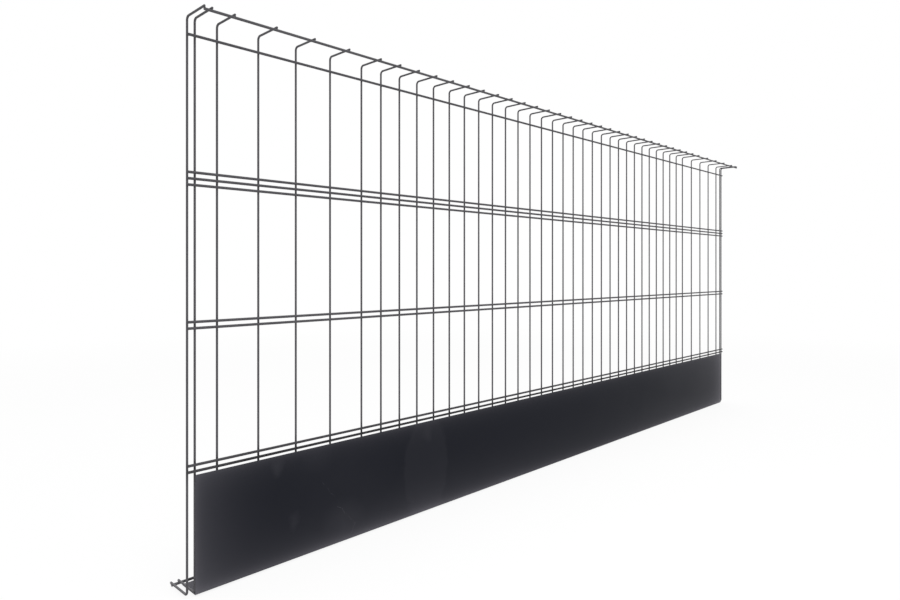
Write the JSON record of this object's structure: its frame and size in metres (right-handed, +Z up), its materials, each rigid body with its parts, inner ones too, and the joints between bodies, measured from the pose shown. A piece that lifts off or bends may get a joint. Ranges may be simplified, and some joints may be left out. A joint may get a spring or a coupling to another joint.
{
  "type": "edge protection barrier",
  "caption": "Welded wire mesh barrier panel with edges bent to a Z, grouped long wires that hang on post hooks, and a folded sheet toe board along its foot.",
  "frame": {"origin": "mid-length, in the plane of the uprights' axes, at the underside of the foot edge wire", "axes": "+X along the panel, -Y to the front where the toe board's face is, +Z up"},
  "size_m": [2.5844, 0.1454, 1.1054],
  "materials": {
    "wire": "satin dark grey powder coat on drawn wire",
    "toe_board": "matt anthracite powder coat on sheet"
  },
  "bodies": {
    "root": {"upright_01": "wire", "upright_02": "wire", "upright_03": "wire", "upright_04": "wire", "upright_05": "wire", "upright_06": "wire", "upright_07": "wire", "upright_08": "wire", "upright_09": "wire", "upright_10": "wire", "upright_11": "wire", "upright_12": "wire", "upright_13": "wire", "upright_14": "wire", "upright_15": "wire", "upright_16": "wire", "upright_17": "wire", "upright_18": "wire", "upright_19": "wire", "upright_20": "wire", "upright_21": "wire", "upright_22": "wire", "upright_23": "wire", "upright_24": "wire", "upright_25": "wire", "upright_26": "wire", "upright_27": "wire", "upright_28": "wire", "upright_29": "wire", "upright_30": "wire", "upright_31": "wire", "upright_32": "wire", "upright_33": "wire", "upright_34": "wire", "upright_35": "wire", "upright_36": "wire", "upright_37": "wire", "upright_38": "wire", "upright_39": "wire", "upright_40": "wire", "upright_41": "wire", "upright_42": "wire", "lower_pair_wire_1": "wire", "lower_pair_wire_2": "wire", "middle_pair_wire_1": "wire", "middle_pair_wire_2": "wire", "triple_wire_1": "wire", "triple_wire_2": "wire", "triple_wire_3": "wire", "upper_wire": "wire", "top_edge_wire": "wire", "foot_edge_wire": "wire", "toe_board": "toe_board"}
  },
  "joints": []
}
